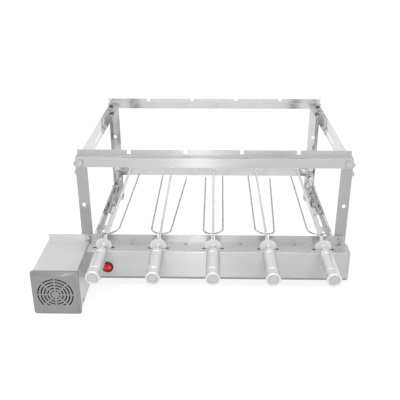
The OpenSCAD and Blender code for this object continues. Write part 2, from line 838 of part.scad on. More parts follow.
module lower_rail_front(side) {
    color(STAINLESS) place() difference() {
        mirror([side > 0 ? 0 : 1, 0, 0]) difference() {
            union() {
                block([rail_out - sheet, leg_y + leg_t, lower_rail_low],
                    [rail_out, front_rail_end, lower_rail_low + lower_rail_h]);
                block([rail_out - leg_w, leg_y + leg_t, lower_rail_low],
                    [rail_out, front_rail_end, lower_rail_low + sheet]);
            }
            for (slot = [rail_slot, spare_slot]) translate([lower_slot_x, 0, lower_rail_low - past])
                long_hole(rail_slot_r, slot[0], slot[1], sheet + 2 * past);
        }
        joint_holes(front_joints, bolt_hole_r);
    }
}

module upper_rail_rear(side) {
    color(STAINLESS) place() difference() {
        mirror([side > 0 ? 0 : 1, 0, 0])
            block([rail_in - sheet, upper_rear_start, upper_rail_low],
                [rail_in, rear_y - leg_t, upper_rear_top]);
        joint_holes(rear_joints, bolt_hole_r);
        joint_holes(clamp_joints, bolt_hole_r);
    }
}

module lower_rail_rear(side) {
    low = lower_rail_low + sheet + moving_gap;
    color(STAINLESS) place() difference() {
        mirror([side > 0 ? 0 : 1, 0, 0]) difference() {
            union() {
                block([rail_in - sheet, lower_rear_start, low],
                    [rail_in, rear_y - leg_t, lower_rail_low + lower_rail_h]);
                block([rail_out - leg_w, lower_rear_start, low], [rail_in, rear_y - leg_t, low + sheet]);
            }
            translate([rail_hole[0], rail_hole[1], low - past])
                cylinder(r = rail_hole_r, h = sheet + 2 * past);
        }
        joint_holes(rear_joints, bolt_hole_r);
        joint_holes(clamp_joints, bolt_hole_r);
    }
}

module front_bolts() { color(ZINC) place() bolts(front_joints); }

module front_nuts() { color(ZINC) place() nuts(front_joints); }

module rear_bolts() { color(ZINC) place() bolts(concat(rear_joints, clamp_joints)); }

module rear_nuts() { color(ZINC) place() nuts(rear_joints); }

module wing_nuts() {
    color(ZINC) place() for (j = clamp_joints)
        translate(j[0]) aim(j[1]) translate([0, 0, j[2]]) wing_nut();
}

// ---- Skewers ----

module skewer_rod(i) {
    body_end = rod_reach - rod_tip_l;
    color(STAINLESS) place() translate([skewer_x[i], 0, 0]) {
        rod_y(rod_r, grip_rear_y - grip_bore_l, body_end, 0, 0);
        translate([0, body_end, 0]) aim("+y") cylinder(r1 = rod_r, r2 = rod_tip_r, h = rod_tip_l);
    }
}

// Each half of the base is an arc that ends where its tine leaves it at its own
// lean. The two halves meet in the weld under the rod.
module skewer_fork(i) {
    r = fork_w / 2;
    color(STAINLESS) place() translate([skewer_x[i], 0, 0]) rotate([0, fork_tilt[i], 0])
            translate([0, fork_y[i], fork_z]) {
        for (s = [0, 1]) mirror([1 - s, 0, 0]) rotate([0, 0, -tine_lean[i][s]]) {
            rotate_extrude(angle = tine_lean[i][s] + seam_a - 90) translate([r, 0]) circle(tine_r);
            rod_y(tine_r, 0, (tine_reach - fork_y[i]) / cos(tine_lean[i][s]), r, 0);
        }
        rod_x(weld_r, -weld_l / 2, weld_l / 2, -r, 0);
    }
}

module gear_outline() {
    tip_a = tooth_tip_w / 2 / gear_tip_r * 180 / PI;
    root_a = tooth_root_w / 2 / gear_root_r * 180 / PI;
    polygon([for (k = [0:gear_teeth - 1]) for (p = [[gear_root_r, -root_a], [gear_tip_r, -tip_a],
        [gear_tip_r, tip_a], [gear_root_r, root_a]])
        let (a = k * 360 / gear_teeth + p[1]) [p[0] * cos(a), p[0] * sin(a)]]);
}

module skewer_gear(i) {
    color(ZINC) place() translate([skewer_x[i], 0, 0]) difference() {
        union() {
            rotate([90, 0, 0]) linear_extrude(gear_t, center = true) gear_outline();
            rod_y(hub_r, -gear_t / 2 - hub_l, 0, 0, 0);
        }
        rod_y(rod_r, -gear_t / 2 - hub_l - past, gear_t / 2 + past, 0, 0);
    }
}

module skewer_grip(i) {
    r = grip_d / 2;
    bore_end = grip_rear_y - grip_bore_l;
    color(ALUMINIUM) place() translate([skewer_x[i], 0, 0]) aim("+y") rotate_extrude()
        polygon(concat(
            [[rod_r, grip_rear_y], [r - grip_bevel, grip_rear_y], [r, grip_rear_y - grip_bevel]],
            [for (y = grip_rings) for (p = [[0, 2], [1, 1], [1, -1], [0, -2]])
                [r - p[0] * grip_ring_d, y + p[1] * grip_ring_d]],
            [[r, grip_front_y + grip_cap_l + 1.5], [grip_cap_r, grip_front_y + grip_cap_l],
                [grip_cap_r, grip_front_y + grip_cap_bevel], [grip_cap_r - grip_cap_bevel, grip_front_y],
                [grip_dish_r, grip_front_y], [grip_dish_r, grip_front_y + grip_dish_d],
                [0, grip_front_y + grip_dish_d], [0, bore_end], [rod_r, bore_end]]
        ));
}

motor_bar_shell();
motor_bar_base_cover();
motor_bar_end_cap();
bearing_brackets();
bearing_bushes();
case_screws();
switch_housing();
switch_rocker();
motor_box_shell();
motor_box_base();
motor_box_front_cover();
gear_motor();
motor_plate();
fan_frame();
fan_rotor();
cord_gland();
motor_output_shaft();
shaft_coupling();
drive_shaft();
drive_worms();
front_leg(-1);  // front_leg_left
front_leg(1);  // front_leg_right
upper_front_bar();
upper_rail_front(-1);  // upper_rail_front_left
upper_rail_front(1);  // upper_rail_front_right
lower_rail_front(-1);  // lower_rail_front_left
lower_rail_front(1);  // lower_rail_front_right
front_bolts();
front_nuts();
rear_leg(-1);  // rear_leg_left
rear_leg(1);  // rear_leg_right
upper_rear_bar();
lower_rear_bar();
upper_rail_rear(-1);  // upper_rail_rear_left
upper_rail_rear(1);  // upper_rail_rear_right
lower_rail_rear(-1);  // lower_rail_rear_left
lower_rail_rear(1);  // lower_rail_rear_right
rear_bolts();
rear_nuts();
wing_nuts();
skewer_rod(0);  // skewer_1_rod
skewer_fork(0);  // skewer_1_fork
skewer_gear(0);  // skewer_1_gear
skewer_grip(0);  // skewer_1_grip
skewer_rod(1);  // skewer_2_rod
skewer_fork(1);  // skewer_2_fork
skewer_gear(1);  // skewer_2_gear
skewer_grip(1);  // skewer_2_grip
skewer_rod(2);  // skewer_3_rod
skewer_fork(2);  // skewer_3_fork
skewer_gear(2);  // skewer_3_gear
skewer_grip(2);  // skewer_3_grip
skewer_rod(3);  // skewer_4_rod
skewer_fork(3);  // skewer_4_fork
skewer_gear(3);  // skewer_4_gear
skewer_grip(3);  // skewer_4_grip
skewer_rod(4);  // skewer_5_rod
skewer_fork(4);  // skewer_5_fork
skewer_gear(4);  // skewer_5_gear
skewer_grip(4);  // skewer_5_grip
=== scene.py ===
import json
from math import cos, pi, radians, sin, tau

import bmesh
import bpy
from mathutils import Matrix, Quaternion, Vector

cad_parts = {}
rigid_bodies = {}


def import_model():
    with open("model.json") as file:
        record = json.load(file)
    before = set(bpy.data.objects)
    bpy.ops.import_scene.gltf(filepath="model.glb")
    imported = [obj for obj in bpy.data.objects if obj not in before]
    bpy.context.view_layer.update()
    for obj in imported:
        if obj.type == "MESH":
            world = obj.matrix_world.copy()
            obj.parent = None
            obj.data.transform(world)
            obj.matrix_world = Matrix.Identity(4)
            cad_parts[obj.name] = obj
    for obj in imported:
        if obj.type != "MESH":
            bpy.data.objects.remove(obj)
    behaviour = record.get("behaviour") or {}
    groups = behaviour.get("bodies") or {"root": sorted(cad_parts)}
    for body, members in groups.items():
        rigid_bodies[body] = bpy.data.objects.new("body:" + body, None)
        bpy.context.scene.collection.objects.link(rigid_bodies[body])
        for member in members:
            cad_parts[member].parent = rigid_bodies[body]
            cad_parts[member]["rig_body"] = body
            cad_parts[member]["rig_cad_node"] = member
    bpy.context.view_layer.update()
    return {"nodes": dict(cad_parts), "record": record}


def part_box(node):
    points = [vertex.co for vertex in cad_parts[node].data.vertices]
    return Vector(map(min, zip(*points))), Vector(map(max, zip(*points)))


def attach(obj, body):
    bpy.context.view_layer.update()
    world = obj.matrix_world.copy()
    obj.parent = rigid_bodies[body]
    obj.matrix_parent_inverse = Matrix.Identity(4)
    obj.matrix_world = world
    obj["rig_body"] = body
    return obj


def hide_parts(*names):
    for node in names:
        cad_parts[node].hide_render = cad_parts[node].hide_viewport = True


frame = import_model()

bl_info = {
    "name": "Electric Skewer Grill",
    "version": (1, 0, 0),
    "blender": (4, 5, 0),
    "location": "3D View > Sidebar > Skewer Grill",
    "description": "Dresses the packed grill: folded sheet, twisted forks, turned grips and their finishes",
    "category": "Add Mesh",
}

MM = 0.001
BODY_OF = {node: body for body, nodes in frame["record"]["behaviour"]["bodies"].items() for node in nodes}
SLOT_OF = {part["node"]: part["material_slot"] for part in frame["record"]["subparts"]}
SKEWERS = range(1, 6)
SIDES = ("left", "right")

# The camera stands where the photograph's did, worked out from the frame's own edges
CAMERA_PLACE = (0.0360, -1.3308, 0.7354)
CAMERA_PITCH = 24.62
CAMERA_YAW = 1.42
CAMERA_ROLL = 0.20
CAMERA_LENS = 53.76


def linear(hex_colour):
    """An sRGB hex colour as the linear values that shaders and properties take."""
    parts = [int(hex_colour[i:i + 2], 16) / 255 for i in (0, 2, 4)]
    return tuple(c / 12.92 if c <= 0.04045 else ((c + 0.055) / 1.055) ** 2.4 for c in parts)


# ---- What a user would change ----

class SkewerGrillSizes(bpy.types.PropertyGroup):
    """Sizes of the forms that are worked into the grill's pieces"""

    # The ledge's slots begin 1.2 mm behind the fold, so a larger radius would cut into them
    fold_radius: bpy.props.FloatProperty(
        name="Fold radius", description="Outer radius of a bend in the sheet", default=1.1 * MM,
        min=0.2 * MM, max=1.1 * MM, unit="LENGTH")
    edge_round: bpy.props.FloatProperty(
        name="Edge rounding", description="Rounding of machined and moulded edges", default=0.35 * MM,
        min=0.05 * MM, max=0.6 * MM, unit="LENGTH")
    wire_side: bpy.props.FloatProperty(
        name="Fork wire", description="Side of the square wire that the forks are bent from",
        default=3.9 * MM, min=2.5 * MM, max=4.2 * MM, unit="LENGTH")
    wire_lay: bpy.props.FloatProperty(
        name="Fork twist", description="Length of one whole turn of the forks' twisted wire",
        default=20 * MM, min=10 * MM, max=60 * MM, unit="LENGTH")


def colour_property(name, description, hex_colour):
    """A colour that a user can pick, with its default given in sRGB."""
    return bpy.props.FloatVectorProperty(name=name, description=description, default=linear(hex_colour),
                                         size=3, min=0, max=1, subtype="COLOR")


class SkewerGrillColours(bpy.types.PropertyGroup):
    """Colours of the grill's finishes"""

    sheet: colour_property("Brushed sheet", "Outer faces of the folded stainless bars", "C2C2C2")
    mill: colour_property("Mill sheet", "Stainless with its smooth mill finish", "D0D0D0")
    # The tray's dark grey is painted shade: it stands for the shade below the motor bar's front face and in its
    # slots
    tray: colour_property("Tray", "Raw sheet of the tray under the motor bar", "989898")
    angle: colour_property("Angle legs", "Stainless angle of the legs", "B4B4B4")
    casing: colour_property("Motor casing", "Satin sheet of the motor box", "D8D8D8")
    cover: colour_property("Front cover", "Brushed cover with the fan grille", "989898")
    wire: colour_property("Rods and forks", "Drawn stainless", "E2E2E2")
    gear: colour_property("Gears", "Dull zinc plate of the toothed wheels", "F4F4F4")
    grip: colour_property("Grips", "Satin anodised aluminium", "E2E2E2")
    # The grip faces' darker grey is painted shade: it stands for the shade in the caps' recessed dishes
    face: colour_property("Grip faces", "Bare turned faces at the grips' front ends", "C4C4C4")
    plated: colour_property("Fasteners", "Bright zinc plate", "C4C4C0")
    steel: colour_property("Machine steel", "Plain steel inside the casings", "8C8C90")
    bronze: colour_property("Bushes", "Sintered bronze", "B08A54")
    black: colour_property("Black plastic", "Moulded nylon", "141414")
    red: colour_property("Rocker", "Red polycarbonate of the switch", "FF1409")
    print_white: colour_property("Switch marks", "Printed marks on the rocker", "F0E4E0")


def sizes():
    """The sizes in use."""
    return bpy.context.scene.skewer_grill_sizes


def colours():
    """The colours in use."""
    return bpy.context.scene.skewer_grill_colours


# ---- Materials ----

def add_node(material, kind, inputs=(), **settings):
    """Adds a node with its settings. An input is given a value, or a socket to link from."""
    node = material.node_tree.nodes.new(kind)
    for key, value in settings.items():
        setattr(node, key, value)
    for key, value in dict(inputs).items():
        if isinstance(value, bpy.types.NodeSocket):
            material.node_tree.links.new(value, node.inputs[key])
        else:
            node.inputs[key].default_value = value
    return node


def new_finish(name, **values):
    """A material with one shader, and that shader. Values are those that are even all over."""
    material = bpy.data.materials.new(name)
    material.use_nodes = True
    material.node_tree.nodes.clear()
    shader = add_node(material, "ShaderNodeBsdfPrincipled",
                      {key.replace("_", " ").title().replace("Ior", "IOR"): value for key, value in values.items()})
    add_node(material, "ShaderNodeOutputMaterial", {"Surface": shader.outputs["BSDF"]})
    return material, shader


def pattern(material, spacing, detail=2.0, roughness=0.5):
    """Noise over the piece itself. Spacing is the size of a grain along X, Y and Z, in metres."""
    place = add_node(material, "ShaderNodeTexCoord").outputs["Object"]
    scaled = add_node(material, "ShaderNodeMapping",
                      {"Vector": place, "Scale": [1 / length for length in spacing]})
    return add_node(material, "ShaderNodeTexNoise",
                    {"Vector": scaled.outputs["Vector"], "Scale": 1.0, "Detail": detail,
                     "Roughness": roughness}).outputs["Fac"]


def vary(material, source, low, high):
    """Spreads a pattern's middle range between two values."""
    return add_node(material, "ShaderNodeMapRange",
                    {"Value": source, "From Min": 0.3, "From Max": 0.7, "To Min": low,
                     "To Max": high}).outputs["Result"]


def tint(material, shader, colour, *shades):
    """Sets the base colour, lightened and darkened by each shade in turn, as a share of it."""
    shade = shades[0]
    for other in shades[1:]:
        shade = add_node(material, "ShaderNodeMath", {0: shade, 1: other}, operation="MULTIPLY").outputs["Value"]
    toned = add_node(material, "ShaderNodeVectorMath", {0: tuple(colour), "Scale": shade}, operation="SCALE")
    material.node_tree.links.new(toned.outputs["Vector"], shader.inputs["Base Color"])


def roughen(material, shader, source, low, high):
    """Lets the roughness follow a pattern."""
    material.node_tree.links.new(vary(material, source, low, high), shader.inputs["Roughness"])


def raise_grain(material, shader, source, height):
    """Turns a pattern into relief of that height, in metres."""
    bump = add_node(material, "ShaderNodeBump", {"Height": source, "Distance": height, "Strength": 1.0})
    material.node_tree.links.new(bump.outputs["Normal"], shader.inputs["Normal"])


def lay_tangent(material, shader, along):
    """The direction of the grinding lines, which draws the gloss out across them."""
    line = add_node(material, "ShaderNodeCombineXYZ", dict(zip("XYZ", along)))
    material.node_tree.links.new(line.outputs["Vector"], shader.inputs["Tangent"])


def belt_ground_stainless(name, colour, along, roughness=(0.30, 0.36), anisotropic=1.0):
    """Stainless sheet ground with a belt: fine parallel lines that draw each reflection out across them.
    The real lines are about 0.05 mm apart, too fine to show, so they are drawn 0.7 mm apart."""
    line_gap, line_length = 0.7 * MM, 60 * MM
    material, shader = new_finish(name, metallic=1.0, anisotropic=anisotropic, anisotropic_rotation=0.25)
    lines = pattern(material, [line_length if a else line_gap for a in along], detail=4.0, roughness=0.7)
    clouds = pattern(material, [140 * MM if a else 45 * MM for a in along])
    tint(material, shader, colour, vary(material, lines, 0.93, 1.05), vary(material, clouds, 0.95, 1.04))
    roughen(material, shader, lines, *roughness)
    raise_grain(material, shader, lines, 0.01 * MM)
    lay_tangent(material, shader, along)
    return material


def mill_stainless(name, colour, roughness=(0.10, 0.18)):
    """Cold-rolled stainless as the mill delivers it: smooth and nearly a mirror, a little wavy and cloudy."""
    material, shader = new_finish(name, metallic=1.0)
    waves = pattern(material, [22 * MM] * 3, detail=1.0)
    specks = pattern(material, [1.2 * MM] * 3, detail=3.0)
    tint(material, shader, colour, vary(material, waves, 0.93, 1.04), vary(material, specks, 0.97, 1.02))
    roughen(material, shader, waves, *roughness)
    raise_grain(material, shader, waves, 0.02 * MM)
    return material


def satin_casing(name, colour):
    """Stainless casing with a fine cross-brushed satin: an even, speckled grey with a soft gloss."""
    material, shader = new_finish(name, metallic=1.0)
    specks = pattern(material, [0.9 * MM] * 3, detail=4.0, roughness=0.75)
    clouds = pattern(material, [50 * MM] * 3)
    tint(material, shader, colour, vary(material, specks, 0.94, 1.04), vary(material, clouds, 0.97, 1.02))
    roughen(material, shader, specks, 0.40, 0.52)
    raise_grain(material, shader, specks, 0.01 * MM)
    return material


def drawn_stainless(name, colour):
    """Drawn bar: bright, with faint lengthwise lines and darker heat marks."""
    material, shader = new_finish(name, metallic=1.0)
    lines = pattern(material, [0.8 * MM, 30 * MM, 0.8 * MM], detail=3.0)
    heat = pattern(material, [40 * MM] * 3)
    tint(material, shader, colour, vary(material, lines, 0.92, 1.05), vary(material, heat, 0.9, 1.03))
    roughen(material, shader, lines, 0.22, 0.32)
    return material


def turned_aluminium(name, colour):
    """Aluminium turned on a lathe, blasted and anodised clear: whitish satin with faint rings."""
    material, shader = new_finish(name, metallic=1.0)
    rings = pattern(material, [90 * MM, 0.6 * MM, 90 * MM], detail=3.0)
    clouds = pattern(material, [12 * MM] * 3)
    tint(material, shader, colour, vary(material, rings, 0.96, 1.02), vary(material, clouds, 0.98, 1.01))
    roughen(material, shader, rings, 0.38, 0.48)
    raise_grain(material, shader, rings, 0.006 * MM)
    return material


def machined_steel(name, colour, roughness=(0.25, 0.38), metallic=1.0):
    """Metal as it leaves the cutter: fine tool marks in no one direction. Less than 1 of metallic stands for a
    thin, whitish coat of zinc over it."""
    material, shader = new_finish(name, metallic=metallic)
    marks = pattern(material, [0.7 * MM] * 3, detail=4.0, roughness=0.7)
    clouds = pattern(material, [15 * MM] * 3)
    tint(material, shader, colour, vary(material, marks, 0.93, 1.04), vary(material, clouds, 0.94, 1.03))
    roughen(material, shader, marks, *roughness)
    raise_grain(material, shader, marks, 0.008 * MM)
    return material


def moulded_nylon(name, colour):
    """Black nylon from a spark-eroded mould: dull, with a fine pebble grain."""
    material, shader = new_finish(name, ior=1.53)
    grain = pattern(material, [0.5 * MM] * 3, detail=3.0, roughness=0.7)
    tint(material, shader, colour, vary(material, grain, 0.85, 1.2))
    roughen(material, shader, grain, 0.38, 0.55)
    raise_grain(material, shader, grain, 0.03 * MM)
    return material


def moulded_polycarbonate(name, colour):
    """Red polycarbonate from a polished mould: glossy, with a weak mirror image and faintly uneven colour."""
    material, shader = new_finish(name, ior=1.585, specular_ior_level=0.2)
    clouds = pattern(material, [5 * MM] * 3)
    tint(material, shader, colour, vary(material, clouds, 0.9, 1.08))
    roughen(material, shader, clouds, 0.14, 0.22)
    return material


def pad_print(name, colour):
    """Ink pressed on by a pad: thin, dull, a little broken at its edges."""
    material, shader = new_finish(name, ior=1.5)
    grain = pattern(material, [0.4 * MM] * 3, detail=3.0)
    tint(material, shader, colour, vary(material, grain, 0.85, 1.0))
    roughen(material, shader, grain, 0.5, 0.65)
    return material


def all_finishes():
    """Every finish of the grill, by the record's material slot. The record has no slot for the tray's sheet, which
    is darkened to paint the shade under the motor bar, the mill sheet of the rails and the rear, the grips' face
    discs, darkened to paint the shade in the caps' dishes, and the marks' ink, so these have names of their own."""
    c = colours()
    along_x, along_z = (1, 0, 0), (0, 0, 1)
    return {
        "stainless_sheet": belt_ground_stainless("belt_ground_sheet", c.sheet, along_x),
        "stainless_angle": belt_ground_stainless("belt_ground_angle", c.angle, along_z),
        "mill_sheet": mill_stainless("mill_finish_sheet", c.mill),
        # Tray sheet darkened to paint the shade under the motor bar and in its slots
        "shaded_tray": mill_stainless("dull_raw_sheet", c.tray, (0.3, 0.45)),
        "box_sheet": satin_casing("satin_casing_sheet", c.casing),
        "box_cover_sheet": belt_ground_stainless("belt_ground_cover", c.cover, along_x, (0.36, 0.46), 0.6),
        "plated_steel": machined_steel("bright_zinc_plate", c.plated, (0.15, 0.28)),
        "plain_steel": machined_steel("machined_steel", c.steel),
        "sintered_bronze": machined_steel("sintered_bronze", c.bronze, (0.4, 0.55)),
        "black_nylon": moulded_nylon("moulded_black_nylon", c.black),
        "red_polycarbonate": moulded_polycarbonate("moulded_red_polycarbonate", c.red),
        "stainless_rod": drawn_stainless("drawn_stainless_bar", c.wire),
        "gear_steel": machined_steel("dull_zinc_plate", c.gear, (0.42, 0.58), 0.55),
        "grip_aluminium": turned_aluminium("turned_anodised_aluminium", c.grip),
        # Grip face discs darkened to paint the shade in the caps' dishes
        "grip_face_shade": machined_steel("turned_aluminium_face", c.face, (0.3, 0.42)),
        "ink": pad_print("pad_printed_ink", c.print_white),
    }


def finish(slot):
    """The finish for a material slot of the record, as the finishes operator made it."""
    return next(m for m in bpy.data.materials if m.get("slot") == slot)


# ---- Modelling helpers ----

def select_only(piece):
    """Leaves edit mode and makes one object the only selected one, and the active one."""
    if bpy.context.mode != "OBJECT":
        bpy.ops.object.mode_set(mode="OBJECT")
    bpy.ops.object.select_all(action="DESELECT")
    piece.select_set(True)
    bpy.context.view_layer.objects.active = piece


def select_edges(wanted):
    """In edit mode, selects the edges that pass a test."""
    bpy.ops.mesh.select_mode(type="EDGE")
    bpy.ops.mesh.select_all(action="DESELECT")
    shape = bmesh.from_edit_mesh(bpy.context.object.data)
    for edge in shape.edges:
        edge.select_set(wanted(edge))
    bmesh.update_edit_mesh(bpy.context.object.data)


def apply_modifier(piece, kind, **settings):
    """Adds one modifier and applies it."""
    select_only(piece)
    bpy.ops.object.modifier_add(type=kind)
    modifier = piece.modifiers[-1]
    for key, value in settings.items():
        setattr(modifier, key, value)
    bpy.ops.object.modifier_apply(modifier=modifier.name)


def hand_over(piece, name, material, *nodes, body=None, slot=None):
    """Gives a finished piece its name, finish and body, with its place in its mesh."""
    select_only(piece)
    bpy.ops.object.transform_apply(location=True, rotation=True, scale=True)
    bpy.ops.object.shade_smooth_by_angle(angle=radians(32))
    apply_modifier(piece, "WEIGHTED_NORMAL", keep_sharp=True)
    piece.name = piece.data.name = name
    piece.data.materials.clear()
    piece.data.materials.append(material)
    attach(piece, body or BODY_OF[nodes[0]])
    if nodes:
        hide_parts(*nodes)
    return piece


def merged_copy(node):
    """A copy of a CAD node's mesh with its triangles joined into whole faces."""
    select_only(frame["nodes"][node])
    bpy.ops.object.duplicate()
    piece = bpy.context.object
    piece.parent = None
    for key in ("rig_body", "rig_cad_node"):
        del piece[key]
    bpy.ops.object.mode_set(mode="EDIT")
    bpy.ops.mesh.select_all(action="SELECT")
    bpy.ops.mesh.remove_doubles(threshold=0.001 * MM)
    bpy.ops.mesh.dissolve_limited(angle_limit=radians(0.5))
    bpy.ops.object.mode_set(mode="OBJECT")
    return piece


def is_ridge(edge):
    """A long outer edge of a pressed form, wherever its faces meet at an angle."""
    return (len(edge.link_faces) == 2 and edge.is_convex and edge.calc_length() > 30 * MM
            and edge.calc_face_angle() > radians(15))


def is_bend(edge):
    """A ridge between two wide faces is where a sheet was folded. A face's width comes from its outline, so
    that the cut edge of a sheet counts as narrow, however it winds."""
    wide = 2.4 * MM
    return is_ridge(edge) and all(2 * face.calc_area() / face.calc_perimeter() > wide for face in edge.link_faces)


def folded_sheet(node, material, bends=is_bend, radius=None):
    """A CAD sheet part with round bends in place of its sharp outer edges. A fold meets short edges at its ends
    and notches, which would hold its radius back, so only a pressed form's ridges are clamped by them."""
    piece = merged_copy(node)
    bpy.ops.object.mode_set(mode="EDIT")
    select_edges(bends)
    bpy.ops.mesh.bevel(offset=radius or sizes().fold_radius, segments=4, clamp_overlap=bends is is_ridge)
    return hand_over(piece, node + "_folded", material, node)


def rounded_part(node, material=None, width=None, segments=2):
    """A CAD part with its machined or moulded edges broken."""
    piece = merged_copy(node)
    apply_modifier(piece, "BEVEL", width=width or sizes().edge_round, segments=segments, limit_method="ANGLE",
                   angle_limit=radians(40), use_clamp_overlap=False)
    return hand_over(piece, node + "_finished", material or finish(SLOT_OF[node]), node)


def turned_piece(profile, x, z, steps=64):
    """A turned piece about a line along Y: a disc, extruded from ring to ring of (y, radius)."""
    (y, radius), *rings = profile
    bpy.ops.object.select_all(action="DESELECT")
    bpy.ops.mesh.primitive_circle_add(vertices=steps, radius=radius, fill_type="NGON", location=(x, y, z),
                                      rotation=(pi / 2, 0, 0))
    piece = bpy.context.object
    bpy.ops.object.transform_apply(location=True, rotation=True, scale=True)
    bpy.ops.object.mode_set(mode="EDIT")
    for next_y, next_radius in rings:
        bpy.ops.mesh.extrude_region_move(TRANSFORM_OT_translate={"value": (0, next_y - y, 0)})
        growth = next_radius / radius
        bpy.ops.transform.resize(value=(growth, 1, growth), center_override=(x, next_y, z))
        y, radius = next_y, next_radius
    bpy.ops.mesh.select_all(action="SELECT")
    bpy.ops.mesh.normals_make_consistent(inside=False)
    bpy.ops.object.mode_set(mode="OBJECT")
    return piece


def twisted_bar(side, length, lay, steps_per_turn):
    """A square bar with rounded corners, twisted evenly, that runs from the origin along +X."""
    bpy.ops.object.select_all(action="DESELECT")
    bpy.ops.mesh.primitive_cube_add(size=1, location=(length / 2, 0, 0), scale=(length, side, side))
    piece = bpy.context.object
    bpy.ops.object.transform_apply(location=True, rotation=True, scale=True)
    bpy.ops.object.mode_set(mode="EDIT")
    select_edges(lambda edge: edge.calc_length() > length / 2)
    bpy.ops.mesh.bevel(offset=side * 0.18, segments=3)
    select_edges(lambda edge: edge.calc_length() > length / 2)
    bpy.ops.mesh.subdivide(number_cuts=int(length / lay * steps_per_turn))
    bpy.ops.object.mode_set(mode="OBJECT")
    apply_modifier(piece, "SIMPLE_DEFORM", deform_method="TWIST", deform_axis="X", angle=tau * length / lay)
    return piece


# ---- Pieces ----

class GrillPiece:
    """What every operator here shares"""

    bl_options = {"REGISTER", "UNDO"}


class SKEWERGRILL_OT_finishes(GrillPiece, bpy.types.Operator):
    """Metals, plastics and ink of all the pieces"""

    bl_idname = "skewer_grill.finishes"
    bl_label = "Finishes"

    def execute(self, context):
        for slot, material in all_finishes().items():
            material["slot"] = slot
        return {"FINISHED"}


class SKEWERGRILL_OT_bars(GrillPiece, bpy.types.Operator):
    """Motor bar and notched bars, each folded from brushed sheet"""

    bl_idname = "skewer_grill.bars"
    bl_label = "Bars"

    def execute(self, context):
        for node in ("motor_bar_shell", "motor_bar_end_cap", "upper_front_bar"):
            folded_sheet(node, finish("stainless_sheet"))
        # The tray's darker finish paints the shade along the motor bar's lower edge and in its slots
        folded_sheet("motor_bar_base_cover", finish("shaded_tray"))
        for node in ("upper_rear_bar", "lower_rear_bar"):
            folded_sheet(node, finish("mill_sheet"))
        return {"FINISHED"}


class SKEWERGRILL_OT_rails(GrillPiece, bpy.types.Operator):
    """Slotted rails that set the depth, in mill-finished sheet"""

    bl_idname = "skewer_grill.rails"
    bl_label = "Rails"

    def execute(self, context):
        for level in ("upper", "lower"):
            for end in ("front", "rear"):
                for side in SIDES:
                    folded_sheet(f"{level}_rail_{end}_{side}", finish("mill_sheet"))
        return {"FINISHED"}


class SKEWERGRILL_OT_legs(GrillPiece, bpy.types.Operator):
    """Four angle legs with their foot tabs"""

    bl_idname = "skewer_grill.legs"
    bl_label = "Legs"

    def execute(self, context):
        for side in SIDES:
            folded_sheet(f"front_leg_{side}", finish("stainless_angle"))
            folded_sheet(f"rear_leg_{side}", finish("mill_sheet"))
        return {"FINISHED"}


class SKEWERGRILL_OT_motor_box(GrillPiece, bpy.types.Operator):
    """Motor box: folded casing, floor, and the front cover with its fan grille"""

    bl_idname = "skewer_grill.motor_box"
    bl_label = "Motor box"

    def execute(self, context):
        for node in ("motor_box_shell", "motor_box_base"):
            folded_sheet(node, finish("box_sheet"))
        folded_sheet("motor_box_front_cover", finish("box_cover_sheet"), is_ridge, 0.4 * MM)
        return {"FINISHED"}


class SKEWERGRILL_OT_machinery(GrillPiece, bpy.types.Operator):
    """Motor, fan, shaft, worms and bearings, most of them hidden in the casings, and the skewers' rods"""

    bl_idname = "skewer_grill.machinery"
    bl_label = "Machinery"

    def execute(self, context):
        for node in ("gear_motor", "motor_plate", "fan_frame", "fan_rotor", "motor_output_shaft",
                     "shaft_coupling", "drive_shaft", "drive_worms", "bearing_brackets", "bearing_bushes",
                     "cord_gland", *(f"skewer_{k}_rod" for k in SKEWERS)):
            materials = frame["nodes"][node].data.materials
            materials.clear()
            materials.append(finish(SLOT_OF[node]))
        return {"FINISHED"}


class SKEWERGRILL_OT_power_switch(GrillPiece, bpy.types.Operator):
    """Round rocker switch with a red rocker in a black bezel, marked with a bar and a ring"""

    bl_idname = "skewer_grill.power_switch"
    bl_label = "Power switch"

    off_centre = 4.6 * MM   # from the rocker's middle to each mark
    bar_width, bar_height = 0.7 * MM, 4 * MM
    ring_radius, ring_bore = 2 * MM, 0.66

    def execute(self, context):
        rounded_part("switch_housing", segments=3)
        rounded_part("switch_rocker", width=0.5 * MM, segments=3)
        low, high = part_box("switch_rocker")
        centre, in_front = (low + high) / 2, low.y - 2 * MM
        self.press_on("on", self.add_bar(context, (centre.x - self.off_centre, in_front, centre.z)))
        self.press_on("off", self.add_ring(context, (centre.x + self.off_centre, in_front, centre.z)))
        return {"FINISHED"}

    def add_bar(self, context, place):
        """A flat bar that faces the front."""
        bpy.ops.object.select_all(action="DESELECT")
        bpy.ops.mesh.primitive_plane_add(size=1, location=place, rotation=(pi / 2, 0, 0))
        context.object.scale = (self.bar_width, self.bar_height, 1)
        return context.object

    def add_ring(self, context, place):
        """A flat ring that faces the front. Its bore is a share of its radius."""
        bpy.ops.object.select_all(action="DESELECT")
        bpy.ops.mesh.primitive_circle_add(vertices=32, radius=self.ring_radius, location=place,
                                          rotation=(pi / 2, 0, 0))
        bpy.ops.object.mode_set(mode="EDIT")
        bpy.ops.mesh.extrude_edges_move()
        bpy.ops.transform.resize(value=(self.ring_bore,) * 3)
        bpy.ops.object.mode_set(mode="OBJECT")
        return context.object

    def press_on(self, name, mark):
        """Lays a flat mark onto the rocker's curved face, with the thickness of print."""
        bpy.ops.object.transform_apply(location=True, rotation=True, scale=True)
        apply_modifier(mark, "SHRINKWRAP", target=frame["nodes"]["switch_rocker"], wrap_method="PROJECT",
                       use_project_y=True, use_negative_direction=False, use_positive_direction=True,
                       offset=0.06 * MM)
        apply_modifier(mark, "SOLIDIFY", thickness=0.08 * MM, offset=0)
        hand_over(mark, f"rocker_mark_{name}", finish("ink"), "switch_rocker")


